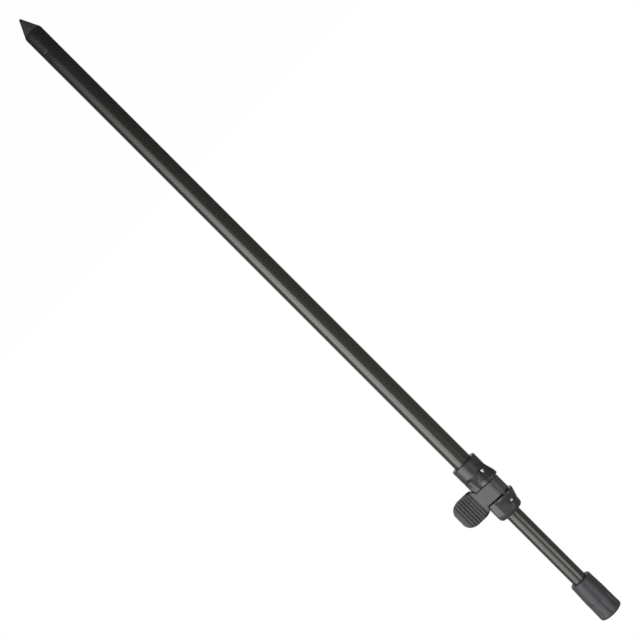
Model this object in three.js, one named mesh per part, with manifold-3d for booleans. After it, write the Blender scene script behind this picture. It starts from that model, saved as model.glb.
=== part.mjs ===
// Telescopic bank stick: a spiked ground tube, a cam-lever clamp and a sliding mast with a
// threaded head. Millimetres, +Z up along the stick, the spike's tip at the origin, the lever's
// paddle towards +X and its pivot pin towards -Y.
import * as THREE from 'three';
import { mergeVertices } from 'three/addons/utils/BufferGeometryUtils.js';
import Module from 'manifold-3d';

const wasm = await Module();
wasm.setup();

// Fits shared by every piece
const runningGap = 0.1; // radial, mast in its bushes, shoe and liner
const fitGap = 0.12; // radial, a fixed piece in its seat
const endGap = 0.15; // along the stick, between faces that meet
const overrun = 2; // how far a cut runs past the face it opens
const roundSides = 48;
const smallSides = 24;
const cornerSteps = 8;
const normalsPerSide = 4;
const facingLimit = 0.2; // least cosine at which a normal still bounds a direction

// Tubes
const mastRadius = 6.35;
const mastWall = 1;
const guideWall = 0.53;
const groundTubeWall = 0.9;
const guideOuter = mastRadius + runningGap + guideWall;
const groundTubeBore = guideOuter + fitGap;
const groundTubeRadius = groundTubeBore + groundTubeWall;

// Spike, from its tip up
const coneLength = 15.3;
const coneTipRadius = 0.7;
const coneTipLength = 0.5;
const spikeLength = 35;
const spigotLength = 16;
const spigotChamfer = 1;
const spikeShoulder = spikeLength - endGap;
const spigotTop = spikeShoulder + spigotLength;

// Clamp housing, along the stick
const housingBase = 488.3;
const sleeveLength = 15;
const clampRise = 29.65; // from the housing's base to the middle of the lever
const housingLength = 53.9;
const collarLength = 5.4;
const tubeSeatDepth = 17.4;

// Clamp housing, across the stick
const sleeveWall = 3.28;
const bodyStep = 0.1;
const collarStep = 0.05;
const collarGrooveDepth = 0.3;
const collarGrooveWidth = 1.6;
const collarCorner = 2;
const sleeveChamfer = 0.7;
const tubeSeatRadius = groundTubeRadius + fitGap;
const sleeveRadius = tubeSeatRadius + sleeveWall;
const bodyRadius = sleeveRadius - bodyStep;
const collarRadius = sleeveRadius + collarStep;
const housingTop = housingBase + housingLength;
const clampMiddle = housingBase + clampRise;

// Brake shoe and the liner that backs it
const shoeThickness = 1.55;
const shoeLength = 13.2;
const shoeHalfAngle = THREE.MathUtils.degToRad(58);
const linerSlotAngle = THREE.MathUtils.degToRad(9);
const linerLength = 19.6;
const linerBase = housingBase + tubeSeatDepth + endGap;
const linerTop = linerBase + linerLength;
const shoeOuter = mastRadius + runningGap + shoeThickness;
const linerSeatRadius = shoeOuter + fitGap;

// Pivot pin and the cam round it
const pinRadius = 1.7;
const pinGap = 0.15;
const pinLength = 34.3;
const pinDrop = 0.6; // from the middle of the lever down to the middle of the pin
const pinChamfer = 0.4;
const pinAzimuth = THREE.MathUtils.degToRad(-123.7);
const camGap = 0.3; // cam to shoe, clamped
const camThrow = 0.3; // what the cam adds when the lever closes
const camWall = 1.43;
const leverSwing = THREE.MathUtils.degToRad(80);
const camRiseAngle = THREE.MathUtils.degToRad(14);
const pinHole = pinRadius + pinGap;
const pinDistance = shoeOuter + camGap + camThrow + camWall + pinHole;
const pinX = pinDistance * Math.cos(pinAzimuth);
const pinY = pinDistance * Math.sin(pinAzimuth);
const pinLow = clampMiddle - pinDrop - pinLength / 2;
const pinHigh = pinLow + pinLength;

// Drum that the lever's hub and the housing's ears share: the hull of two circles
const drumSideInset = 1.6; // towards the mast, from the pin to the small circle's centre
const drumFaceShift = 2.5; // towards +X, from the small circle's centre to the large one's
const drumFaceInset = 2.5; // towards the mast, between the same centres
const hubRadius = 8.1; // the large circle, on the hub
const drumRadiusStep = 2.5; // large circle less small circle
const earLip = 1.4; // how far the lower ear stands out past the hub
const upperEarLip = 1.75;

// Window between the ears
const bandWidth = 13.42;
const washerThickness = 0.4;
const washerGap = 0.12;
const washerRadius = 3.4;
const windowBackY = -0.6;
const windowHalf = bandWidth / 2 + washerThickness + 2 * washerGap;
const windowLow = clampMiddle - windowHalf;
const windowHigh = clampMiddle + windowHalf;

// Ear ramps: each row is the share of the ramp's length from the window's face and the share
// of the ear's full radius that is left there
const lowerRampLength = 13;
const upperRampLength = 11.5;
const lowerRampShares = [[0, 1], [0.12, 1], [0.3, 0.97], [0.48, 0.91], [0.64, 0.83], [0.8, 0.7], [0.92, 0.54],
  [1, 0.4]];
const upperRampShares = [[0, 1], [0.12, 1], [0.28, 0.965], [0.44, 0.9], [0.6, 0.78], [0.8, 0.58], [1, 0.4]];
const earSides = 48;
const earCoreInset = 0.6; // from the body's surface, where the ears' flanks start

// Pockets that show the pin's ends
const pocketRadius = 2.4;
const pocketEndGap = 0.35;
const pocketSides = 8;
const lowerPocketLength = 3.1;
const upperPocketLength = 2;

// Lever: plan of the arm and paddle, then its outline seen from the front
const armTilt = THREE.MathUtils.degToRad(22);
const paddleTilt = THREE.MathUtils.degToRad(6);
const leverGap = 0.35;
const heelX = 12.2;
const ribStartX = 13.2;
const rootX = 15.6;
const paddleReach = 34;
const rootThickness = 3.7;
const tipThickness = 3;
const paddleHalf = 12.13;
const shoulderStartX = 9.6;
const shoulderEndX = 15.8;
const shoulderPullX = 10.9;
const shoulderPullHalf = 11.6;
const cornerStartX = 25;
const cornerPullX = 32.6;
const cornerPullHalf = 11.2;
const tipHalf = 5;

// Finger grooves across the paddle
const grooveCount = 7;
const grooveFirstX = 14.4;
const groovePitch = 2.47;
const grooveWidth = 1;
const grooveDepth = 0.45;
const grooveMargin = 1.1;

// Bushes
const guideLength = 22;
const guideFlangeThickness = 1.2;
const collarBushWall = 1.1;
const collarBushRise = 2; // from the liner's top to the collar bush
const collarLipLength = 1.2;
const collarLipGap = 0.45;
const collarBushOuter = mastRadius + runningGap + collarBushWall;
const collarBushSeat = collarBushOuter + fitGap;

// Tail of the mast
const closedClearance = 2.8; // tail to spigot when the head is down on the housing
const plugLength = 18;
const tailBushLength = 12.6;
const tailSlideGap = 0.15;
const tailCounterbore = 3.4;
const tailCounterboreRadius = 4.5;
const ringSection = 0.8; // radius of the O-ring's section
const ringSqueeze = 0.05;
const ringGrooveClear = 0.15;
const ringSides = 8;
const screwRadius = 2;
const screwHeadRadius = 3.5;
const screwHeadHeight = 2.2;
const screwReach = 23;
const screwDriveRadius = 1.5;
const screwDriveDepth = 1.2;
const tailWasherThickness = 0.7;
const tailWasherRadius = 4.1;
const tailBushOuter = groundTubeBore - tailSlideGap;

// Mast, with its tail as far above the spigot as its head is above the housing, and a clearance
const mastShowing = 74.6;
const headSeatDepth = 12;
const headBase = housingTop + mastShowing;
const mastTop = headBase + headSeatDepth;
const tailBushBottom = spigotTop + closedClearance + mastShowing;
const tailBushTop = tailBushBottom + tailBushLength;
const mastBottom = tailBushTop + endGap;

// Head
const headLength = 35.6;
const headBaseRadius = 9.4;
const headWaistRadius = 10.1;
const headWaistRise = 16;
const headRimRadius = 10.35;
const headBaseCorner = 1.2;
const headRimCorner = 2.4;
const threadRadius = 4.3;
const insertWall = 1.85;
const insertLength = 17.6;
const insertRecess = 0.3;
const insertChamfer = 0.45;
const headFloorGap = 0.15;
const headTop = headBase + headLength;
const insertOuter = threadRadius + insertWall;
const insertTop = headTop - insertRecess;
const insertBottom = insertTop - insertLength;

// Grip flutes round the head
const fluteCount = 8;
const fluteLength = 12.6;
const fluteWidth = 2.6;
const fluteDepth = 0.6;
const fluteRise = 25.6;
const fluteSides = 4;

// Materials
function paint(colour, roughness, metalness) {
  return new THREE.MeshStandardMaterial({ color: colour, roughness, metalness });
}
const tubeBlack = () => paint(0x33332f, 0.36, 0.55);
const spikeBlack = () => paint(0x2b2b2b, 0.42, 0.5);
const housingGrey = () => paint(0x3b3b3e, 0.4, 0.3);
const leverGrey = () => paint(0x56575a, 0.5, 0.25);
const headGrey = () => paint(0x44434a, 0.45, 0.1);
const steel = () => paint(0xc9cbce, 0.22, 1);
const brass = () => paint(0xb08d4a, 0.35, 1);
const nylon = () => paint(0x1f2022, 0.55, 0);
const rubber = () => paint(0x151515, 0.8, 0);

// Solids from three.js geometry, and back
function toSolid(geometry) {
  geometry.deleteAttribute('normal');
  geometry.deleteAttribute('uv');
  const merged = mergeVertices(geometry);
  return new wasm.Manifold(new wasm.Mesh({
    numProp: 3,
    vertProperties: new Float32Array(merged.attributes.position.array),
    triVerts: new Uint32Array(merged.index.array),
  }));
}

function toGeometry(solid) {
  const mesh = solid.getMesh();
  const geometry = new THREE.BufferGeometry();
  const corners = new Float32Array(mesh.vertProperties);
  geometry.setAttribute('position', new THREE.BufferAttribute(corners, mesh.numProp));
  geometry.setIndex(new THREE.BufferAttribute(new Uint32Array(mesh.triVerts), 1));
  geometry.computeVertexNormals();
  return geometry;
}

// A turned solid about Z from [radius, height] pairs; the pairs close on themselves or end on the axis
function turned(pairs, sides = roundSides) {
  const points = pairs.map(([radius, height]) => new THREE.Vector2(radius, height));
  if (THREE.ShapeUtils.area(points) < 0) points.reverse();
  const hollow = pairs.every(([radius]) => radius > 0);
  if (hollow) points.push(points[0].clone());
  while (!hollow && (points[0].x > 0 || points[points.length - 1].x > 0)) points.push(points.shift());
  return toSolid(new THREE.LatheGeometry(points, sides).rotateX(Math.PI / 2));
}

function ring(outer, inner, low, high, sides = roundSides) {
  return turned([[inner, low], [outer, low], [outer, high], [inner, high]], sides);
}

function rod(radius, low, high, sides = roundSides) {
  return turned([[0, low], [radius, low], [radius, high], [0, high]], sides);
}

// A prism along Z from an outline in plan
function prism(shape, low, high, sides = roundSides) {
  const settings = { depth: high - low, bevelEnabled: false, curveSegments: sides };
  return toSolid(new THREE.ExtrudeGeometry(shape, settings).translate(0, 0, low));
}

function block(low, high) {
  const size = new THREE.Vector3().subVectors(high, low);
  const middle = new THREE.Vector3().addVectors(low, high).multiplyScalar(1 / 2);
  return toSolid(new THREE.BoxGeometry(size.x, size.y, size.z).translate(middle.x, middle.y, middle.z));
}

// The outline that wraps a set of circles and holds the origin, with one point for each direction
function wrapOutline(circles, sides) {
  const turn = (2 * Math.PI) / sides;
  const normals = Array.from({ length: sides * normalsPerSide }, (_, i) => {
    const angle = (i * turn) / normalsPerSide;
    const reaches = circles.map((c) => c.x * Math.cos(angle) + c.y * Math.sin(angle) + c.r);
    return { angle, reach: Math.max(...reaches) };
  });
  return Array.from({ length: sides }, (_, i) => {
    const facing = normals.filter((n) => Math.cos(n.angle - i * turn) > facingLimit);
    const radius = Math.min(...facing.map((n) => n.reach / Math.cos(n.angle - i * turn)));
    return new THREE.Vector2(radius * Math.cos(i * turn), radius * Math.sin(i * turn));
  });
}

// A solid through level outlines that have the same number of points
function lofted(levels) {
  const sides = levels[0].points.length;
  const positions = [];
  const faces = [];
  for (const { points, z } of levels) for (const p of points) positions.push(p.x, p.y, z);
  for (let level = 0; level + 1 < levels.length; level += 1) {
    for (let i = 0; i < sides; i += 1) {
      const next = (i + 1) % sides;
      const a = level * sides;
      faces.push(a + i, a + next, a + sides + next, a + i, a + sides + next, a + sides + i);
    }
  }
  const last = (levels.length - 1) * sides;
  for (let i = 1; i + 1 < sides; i += 1) faces.push(0, i + 1, i, last, last + i, last + i + 1);
  const geometry = new THREE.BufferGeometry();
  geometry.setAttribute('position', new THREE.Float32BufferAttribute(positions, 3));
  geometry.setIndex(faces);
  return toSolid(geometry);
}

// A sector of a ring in plan
function arcShape(outer, inner, from, to) {
  const shape = new THREE.Shape();
  shape.absarc(0, 0, outer, from, to, false);
  shape.absarc(0, 0, inner, to, from, true);
  shape.closePath();
  return shape;
}

// Pairs for a turned solid's rounded upper corner, from its side to its end face
function roundedCorner(radius, top, corner) {
  return Array.from({ length: cornerSteps + 1 }, (_, i) => {
    const angle = (Math.PI / 2) * (i / cornerSteps);
    return [radius - corner * (1 - Math.cos(angle)), top - corner * (1 - Math.sin(angle))];
  });
}

function quadratic(start, pull, end, steps) {
  return new THREE.QuadraticBezierCurve(start, pull, end).getPoints(steps);
}

// The drum's two circles, with the large one at a given radius
function drumCircles(radius) {
  const side = { x: pinX, y: pinY + drumSideInset, r: radius - drumRadiusStep };
  return [side, { x: side.x + drumFaceShift, y: side.y + drumFaceInset, r: radius }];
}

function onPin(solid) {
  return solid.translate([pinX, pinY, 0]);
}

// Ground tube and spike
function makeSpike() {
  const spigotRadius = groundTubeBore - fitGap;
  const spigotEdge = spigotTop - spigotChamfer;
  return turned([[0, 0], [coneTipRadius, coneTipLength], [groundTubeRadius, coneLength],
    [groundTubeRadius, spikeShoulder], [spigotRadius, spikeShoulder], [spigotRadius, spigotEdge],
    [spigotRadius - spigotChamfer, spigotTop], [0, spigotTop]]);
}

function makeGroundTube() {
  const high = housingBase + tubeSeatDepth - guideFlangeThickness;
  return ring(groundTubeRadius, groundTubeBore, spikeLength, high);
}

function makeGuideBush() {
  const inner = mastRadius + runningGap;
  const flangeTop = housingBase + tubeSeatDepth;
  const flangeBase = flangeTop - guideFlangeThickness + endGap;
  const low = flangeTop - guideLength;
  return turned([[inner, low], [guideOuter, low], [guideOuter, flangeBase], [groundTubeRadius, flangeBase],
    [groundTubeRadius, flangeTop], [inner, flangeTop]]);
}

// Clamp housing: turned body with two ears, a window for the lever and its bores
function makeHousingBody() {
  const sleeveTop = housingBase + sleeveLength;
  const collarBase = housingTop - collarLength;
  const grooveRadius = collarRadius - collarGrooveDepth - collarStep;
  return turned([[0, housingBase], [sleeveRadius - sleeveChamfer, housingBase],
    [sleeveRadius, housingBase + sleeveChamfer], [sleeveRadius, sleeveTop],
    [bodyRadius, sleeveTop + collarGrooveWidth], [bodyRadius, collarBase - 2 * collarGrooveWidth],
    [grooveRadius, collarBase - collarGrooveWidth], [collarRadius, collarBase],
    ...roundedCorner(collarRadius, housingTop, collarCorner), [0, housingTop]]);
}

function makeEar(face, direction, length, shares, lip) {
  const core = { x: 0, y: 0, r: bodyRadius - earCoreInset };
  const levels = shares.map(([along, left]) => ({
    points: wrapOutline([core, ...drumCircles((hubRadius + lip) * left)], earSides),
    z: face + direction * length * along,
  }));
  if (direction < 0) levels.reverse();
  return lofted(levels);
}

// A round-ended pocket from the front that shows one end of the pin
function makePinPocket(low, high) {
  const end = (high - low) / 2;
  const straight = Math.max(pocketRadius - end, 0);
  const shape = new THREE.Shape();
  shape.absarc(straight, 0, end, -Math.PI / 2, Math.PI / 2, false);
  shape.absarc(-straight, 0, end, Math.PI / 2, (3 * Math.PI) / 2, false);
  shape.closePath();
  const depth = pocketRadius + hubRadius + overrun;
  const settings = { depth, bevelEnabled: false, curveSegments: pocketSides };
  const geometry = new THREE.ExtrudeGeometry(shape, settings).rotateX(Math.PI / 2);
  return toSolid(geometry.translate(pinX, pinY + pocketRadius, low + end));
}

function makeHousing() {
  const reach = bodyRadius + hubRadius + overrun;
  const collarLip = mastRadius + collarLipGap;
  const windowCorner = new THREE.Vector3(-reach, -reach, windowLow);
  const window = block(windowCorner, new THREE.Vector3(reach, windowBackY, windowHigh));
  return makeHousingBody()
    .add(makeEar(windowLow, -1, lowerRampLength, lowerRampShares, earLip))
    .add(makeEar(windowHigh, 1, upperRampLength, upperRampShares, upperEarLip))
    .subtract(rod(tubeSeatRadius, housingBase - overrun, linerBase))
    .subtract(rod(linerSeatRadius, housingBase + tubeSeatDepth, linerTop + endGap))
    .subtract(rod(collarBushSeat, linerTop, housingTop - collarLipLength))
    .subtract(rod(collarLip, linerTop, housingTop + overrun))
    .subtract(window)
    .subtract(onPin(rod(pinHole, pinLow - pocketEndGap, pinHigh + pocketEndGap, smallSides)))
    .subtract(makePinPocket(pinLow - pocketEndGap, pinLow + lowerPocketLength))
    .subtract(makePinPocket(pinHigh - upperPocketLength, pinHigh + pocketEndGap));
}

// Pieces inside the clamp
function makePin() {
  return onPin(turned([[0, pinLow], [pinRadius - pinChamfer, pinLow], [pinRadius, pinLow + pinChamfer],
    [pinRadius, pinHigh - pinChamfer], [pinRadius - pinChamfer, pinHigh], [0, pinHigh]], smallSides));
}

function makeLeverWasher(low) {
  return onPin(ring(washerRadius, pinHole, low, low + washerThickness, smallSides));
}

function makeShoe() {
  const inner = mastRadius + runningGap;
  const shape = arcShape(shoeOuter, inner, pinAzimuth - shoeHalfAngle, pinAzimuth + shoeHalfAngle);
  return prism(shape, clampMiddle - shoeLength / 2, clampMiddle + shoeLength / 2, smallSides);
}

function makeLiner() {
  const start = pinAzimuth + shoeHalfAngle + linerSlotAngle;
  const end = pinAzimuth - shoeHalfAngle - linerSlotAngle + 2 * Math.PI;
  return prism(arcShape(shoeOuter, mastRadius + runningGap, start, end), linerBase, linerTop);
}

function makeCollarBush() {
  const high = housingTop - collarLipLength - endGap;
  return ring(collarBushOuter, mastRadius + runningGap, linerTop + collarBushRise, high);
}

// Cam lever: hub, arm and finger paddle
function makeLeverPlan() {
  const face = drumCircles(hubRadius)[1];
  const start = new THREE.Vector2(face.x + face.r * Math.sin(armTilt), face.y - face.r * Math.cos(armTilt));
  const ribY = start.y + (ribStartX - start.x) * Math.tan(armTilt);
  const tipY = ribY + (paddleReach - ribStartX) * Math.tan(paddleTilt);
  const tipRadius = tipThickness / 2;
  const heelY = windowBackY - leverGap;
  const shape = new THREE.Shape();
  shape.moveTo(start.x, start.y);
  shape.lineTo(ribStartX, ribY);
  shape.lineTo(paddleReach - tipRadius, tipY);
  shape.absarc(paddleReach - tipRadius, tipY + tipRadius, tipRadius, -Math.PI / 2, Math.PI / 2, false);
  shape.lineTo(rootX, ribY + rootThickness);
  shape.lineTo(heelX, heelY);
  shape.lineTo(0, heelY);
  shape.lineTo(face.x, face.y);
  shape.closePath();
  return shape;
}

// The lever's outline seen from the front: a band that flares into the paddle
function makeLeverFront() {
  const half = bandWidth / 2;
  const upper = [
    new THREE.Vector2(-bodyRadius - hubRadius, half),
    ...quadratic(new THREE.Vector2(shoulderStartX, half), new THREE.Vector2(shoulderPullX, shoulderPullHalf),
      new THREE.Vector2(shoulderEndX, paddleHalf), cornerSteps),
    ...quadratic(new THREE.Vector2(cornerStartX, paddleHalf), new THREE.Vector2(cornerPullX, cornerPullHalf),
      new THREE.Vector2(paddleReach, tipHalf), cornerSteps),
  ];
  const lower = upper.map((p) => new THREE.Vector2(p.x, -p.y)).reverse();
  const depth = bodyRadius + 2 * hubRadius;
  const shape = new THREE.Shape([...upper, ...lower]);
  const geometry = new THREE.ExtrudeGeometry(shape, { depth, bevelEnabled: false });
  return toSolid(geometry.rotateX(Math.PI / 2).translate(0, 0, clampMiddle));
}

// The space that the shoe sweeps as the lever swings about the pin, seen from the lever
function makeSweep(radius, from, to) {
  const towardsMast = pinAzimuth + Math.PI;
  const start = towardsMast + from;
  const end = towardsMast + to;
  const at = (angle) => new THREE.Vector2(
    pinX + pinDistance * Math.cos(angle),
    pinY + pinDistance * Math.sin(angle),
  );
  const shape = new THREE.Shape();
  shape.absarc(pinX, pinY, pinDistance + radius, start, end, false);
  shape.absarc(at(end).x, at(end).y, radius, end, end + Math.PI, false);
  shape.absarc(pinX, pinY, pinDistance - radius, end, start, true);
  shape.absarc(at(start).x, at(start).y, radius, start + Math.PI, start + 2 * Math.PI, false);
  shape.closePath();
  return prism(shape, clampMiddle - paddleHalf - overrun, clampMiddle + paddleHalf + overrun, smallSides);
}

function makeGrooves() {
  const face = drumCircles(hubRadius)[1];
  const startX = face.x + face.r * Math.sin(armTilt);
  const startY = face.y - face.r * Math.cos(armTilt);
  const ribY = startY + (ribStartX - startX) * Math.tan(armTilt);
  const half = paddleHalf - grooveMargin;
  return Array.from({ length: grooveCount }, (_, i) => {
    const x = grooveFirstX + i * groovePitch;
    const y = ribY + (x - ribStartX) * Math.tan(paddleTilt);
    return block(
      new THREE.Vector3(x - grooveWidth / 2, y - overrun, clampMiddle - half),
      new THREE.Vector3(x + grooveWidth / 2, y + grooveDepth, clampMiddle + half),
    );
  });
}

function makeLever() {
  const plan = makeLeverPlan();
  const bandLow = clampMiddle - bandWidth / 2;
  const bandHigh = clampMiddle + bandWidth / 2;
  const hub = prism(new THREE.Shape(wrapOutline(drumCircles(hubRadius), earSides)), bandLow, bandHigh);
  const paddle = prism(plan, clampMiddle - paddleHalf, clampMiddle + paddleHalf, smallSides)
    .subtract(rod(bodyRadius + leverGap, clampMiddle - paddleHalf - overrun, bandLow))
    .subtract(rod(bodyRadius + leverGap, bandHigh, clampMiddle + paddleHalf + overrun));
  const whole = hub.add(paddle).intersect(makeLeverFront())
    .subtract(makeSweep(shoeOuter + camGap, 0, leverSwing))
    .subtract(makeSweep(shoeOuter + camGap + camThrow, camRiseAngle, leverSwing))
    .subtract(onPin(rod(pinHole, bandLow - overrun, bandHigh + overrun, smallSides)));
  return makeGrooves().reduce((solid, groove) => solid.subtract(groove), whole);
}

// Mast and its tail
function makeMastTube() {
  return ring(mastRadius, mastRadius - mastWall, mastBottom, mastTop - endGap);
}

function makeTailPlug() {
  const outer = mastRadius - mastWall - fitGap;
  return ring(outer, screwRadius + fitGap, mastBottom, mastBottom + plugLength, smallSides);
}

function makeTailBush() {
  const hole = screwRadius + fitGap;
  const grooveMiddle = tailBushTop - (tailBushLength - tailCounterbore) / 2;
  const grooveHalf = ringSection + ringGrooveClear;
  const grooveFloor = tailBushOuter + ringSqueeze - 2 * ringSection - ringGrooveClear;
  const seat = tailBushBottom + tailCounterbore;
  return turned([[tailCounterboreRadius, tailBushBottom], [tailBushOuter, tailBushBottom],
    [tailBushOuter, grooveMiddle - grooveHalf], [grooveFloor, grooveMiddle - grooveHalf],
    [grooveFloor, grooveMiddle + grooveHalf], [tailBushOuter, grooveMiddle + grooveHalf],
    [tailBushOuter, tailBushTop], [hole, tailBushTop], [hole, seat], [tailCounterboreRadius, seat]]);
}

function makeTailRing() {
  const middle = tailBushTop - (tailBushLength - tailCounterbore) / 2;
  const centre = tailBushOuter + ringSqueeze - ringSection;
  const geometry = new THREE.TorusGeometry(centre, ringSection, ringSides, roundSides);
  return toSolid(geometry.translate(0, 0, middle));
}

function makeTailWasher() {
  const high = tailBushBottom + tailCounterbore - endGap;
  return ring(tailWasherRadius, screwRadius + fitGap, high - tailWasherThickness, high, smallSides);
}

function makeTailScrew() {
  const headTopZ = tailBushBottom + tailCounterbore - endGap - tailWasherThickness - endGap;
  const low = headTopZ - screwHeadHeight;
  const driveFloor = low + screwDriveDepth;
  return turned([[0, driveFloor], [screwDriveRadius, driveFloor], [screwDriveRadius, low],
    [screwHeadRadius, low], [screwHeadRadius, headTopZ], [screwRadius, headTopZ],
    [screwRadius, headTopZ + screwReach], [0, headTopZ + screwReach]], smallSides);
}

// Head with its threaded insert
function makeFlute(angle) {
  const half = (fluteLength - fluteWidth) / 2;
  const radius = fluteWidth / 2;
  const floor = headWaistRadius - fluteDepth;
  const shape = new THREE.Shape();
  shape.absarc(0, half, radius, 0, Math.PI, false);
  shape.absarc(0, -half, radius, Math.PI, 2 * Math.PI, false);
  shape.closePath();
  const settings = { depth: fluteDepth + overrun, bevelEnabled: false, curveSegments: fluteSides };
  const geometry = new THREE.ExtrudeGeometry(shape, settings).rotateX(Math.PI / 2).rotateZ(angle);
  return toSolid(geometry.translate(floor * Math.sin(angle), -floor * Math.cos(angle), headBase + fluteRise));
}

function makeHead() {
  const seat = mastRadius + fitGap;
  const pocket = insertOuter + fitGap;
  const floor = insertBottom - headFloorGap;
  const body = turned([[0, mastTop], [seat, mastTop], [seat, headBase],
    [headBaseRadius - headBaseCorner, headBase], [headBaseRadius, headBase + headBaseCorner],
    [headWaistRadius, headBase + headWaistRise], ...roundedCorner(headRimRadius, headTop, headRimCorner),
    [pocket, headTop], [pocket, floor], [0, floor]]);
  const flutes = Array.from({ length: fluteCount }, (_, i) => makeFlute((2 * Math.PI * i) / fluteCount));
  return flutes.reduce((solid, flute) => solid.subtract(flute), body);
}

function makeInsert() {
  const mouth = threadRadius + insertChamfer;
  return turned([[threadRadius, insertBottom], [insertOuter, insertBottom], [insertOuter, insertTop],
    [mouth, insertTop], [threadRadius, insertTop - insertChamfer]], roundSides);
}

// The stick
const stick = new THREE.Group();

function place(name, solid, material) {
  const mesh = new THREE.Mesh(toGeometry(solid), material);
  mesh.name = name;
  stick.add(mesh);
}

place('spike_point', makeSpike(), spikeBlack());
place('outer_tube', makeGroundTube(), tubeBlack());
place('guide_bush', makeGuideBush(), nylon());
place('clamp_housing', makeHousing(), housingGrey());
place('clamp_liner', makeLiner(), nylon());
place('brake_shoe', makeShoe(), nylon());
place('collar_bush', makeCollarBush(), nylon());
place('pivot_pin', makePin(), steel());
place('lever_washer_lower', makeLeverWasher(windowLow + washerGap), nylon());
place('lever_washer_upper', makeLeverWasher(windowHigh - washerGap - washerThickness), nylon());
place('cam_lever', makeLever(), leverGrey());
place('inner_tube', makeMastTube(), tubeBlack());
place('tail_plug', makeTailPlug(), nylon());
place('tail_bush', makeTailBush(), nylon());
place('tail_o_ring', makeTailRing(), rubber());
place('tail_washer', makeTailWasher(), steel());
place('tail_screw', makeTailScrew(), steel());
place('head_knob', makeHead(), headGrey());
place('head_insert', makeInsert(), brass());

export default stick;
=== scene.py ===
import math

import bmesh
import bpy
import numpy as np
from mathutils import Matrix, Vector


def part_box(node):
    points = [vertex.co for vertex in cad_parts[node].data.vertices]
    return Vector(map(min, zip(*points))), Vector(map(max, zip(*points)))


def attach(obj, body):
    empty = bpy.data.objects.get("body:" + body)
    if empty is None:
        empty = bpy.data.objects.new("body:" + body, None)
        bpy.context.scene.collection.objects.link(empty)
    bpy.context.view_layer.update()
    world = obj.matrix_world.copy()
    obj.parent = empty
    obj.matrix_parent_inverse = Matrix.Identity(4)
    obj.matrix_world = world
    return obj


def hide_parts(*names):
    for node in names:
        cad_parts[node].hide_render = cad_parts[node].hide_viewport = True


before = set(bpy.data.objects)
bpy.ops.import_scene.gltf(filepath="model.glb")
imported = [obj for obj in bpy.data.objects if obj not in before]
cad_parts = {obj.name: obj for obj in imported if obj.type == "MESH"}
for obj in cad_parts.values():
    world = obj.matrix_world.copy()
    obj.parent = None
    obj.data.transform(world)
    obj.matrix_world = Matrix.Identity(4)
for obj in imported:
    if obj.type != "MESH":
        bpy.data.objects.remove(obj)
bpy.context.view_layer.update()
scene = bpy.context.scene
mm = 0.001  # the sizes below are in millimetres, the scene is in metres
turn = 2 * math.pi


# Meshes

def addPiece(name, points, faces):
    # points in millimetres; doubles merge, so poles and seams close, and faces point outwards
    mesh = bpy.data.meshes.new(name)
    mesh.from_pydata([[float(c) * mm for c in p] for p in points], [], faces)
    work = bmesh.new()
    work.from_mesh(mesh)
    bmesh.ops.remove_doubles(work, verts=work.verts, dist=1e-7)
    bmesh.ops.dissolve_degenerate(work, edges=work.edges, dist=1e-8)
    bmesh.ops.recalc_face_normals(work, faces=work.faces)
    work.to_mesh(mesh)
    work.free()
    piece = bpy.data.objects.new(name, mesh)
    scene.collection.objects.link(piece)
    return piece


def loft(name, rings, closed=False):
    # rings of equal length, joined in order; the two ends are capped, or joined to each other
    count = len(rings[0])
    points = [p for ring in rings for p in ring]
    faces = []
    for row in range(len(rings) if closed else len(rings) - 1):
        a, b = row * count, (row + 1) % len(rings) * count
        faces += [(a + i, a + (i + 1) % count, b + (i + 1) % count, b + i) for i in range(count)]
    if not closed:
        faces.append(tuple(range(count - 1, -1, -1)))
        faces.append(tuple(range(len(points) - count, len(points))))
    return addPiece(name, points, faces)


def softened(corners, steps=5):
    # (radius, height, rounding) corners become a smooth profile of (radius, height)
    profile = []
    for i, (r, z, rounding) in enumerate(corners):
        here = np.array([r, z], float)
        if not rounding:
            profile.append(here)
            continue
        before = np.array(corners[i - 1][:2], float) - here
        after = np.array(corners[(i + 1) % len(corners)][:2], float) - here
        start = here + before / np.linalg.norm(before) * rounding
        end = here + after / np.linalg.norm(after) * rounding
        for t in np.linspace(0, 1, steps + 1):
            profile.append((1 - t) ** 2 * start + 2 * t * (1 - t) * here + t * t * end)
    return profile


def filled(profile, step):
    # more rows on the long stretches of a profile
    rows = [profile[0]]
    for a, b in zip(profile, profile[1:]):
        parts = max(1, math.ceil(np.linalg.norm(np.subtract(b, a)) / step))
        rows += [np.add(a, np.subtract(b, a) * k / parts) for k in range(1, parts + 1)]
    return rows


def directions(angles):
    return np.column_stack([np.cos(angles), np.sin(angles)])


def raised(outline, z):
    # a level outline of (x, y) points, at a height
    return np.column_stack([outline, np.full(len(outline), z)])


def turned(name, profile, sides, closed=False, centre=(0, 0)):
    circle = directions(np.linspace(0, turn, sides, endpoint=False))
    return loft(name, [raised(centre + r * circle, z) for r, z in profile], closed)


def slab(name, outline, low, high):
    return loft(name, [raised(outline, z) for z in (low, high)])


def arc(centre, radius, start, end, count):
    return centre + radius * directions(np.linspace(start, end, count))


def eased(share):
    # from 0 to 1, level at both ends
    return share * share * (3 - 2 * share)


def cutAway(piece, cutter):
    cut = piece.modifiers.new("cut", "BOOLEAN")
    cut.operation = "DIFFERENCE"
    cut.solver = "EXACT"
    cut.object = cutter
    settle(piece)
    bpy.data.objects.remove(cutter)


def settle(piece):
    # what the modifiers make becomes the piece's own plain mesh
    graph = bpy.context.evaluated_depsgraph_get()
    mesh = bpy.data.meshes.new_from_object(piece.evaluated_get(graph))
    piece.modifiers.clear()
    piece.data = mesh


def smooth(piece, degrees=32):
    piece.data.shade_smooth()
    piece.data.set_sharp_from_angle(angle=math.radians(degrees))


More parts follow.
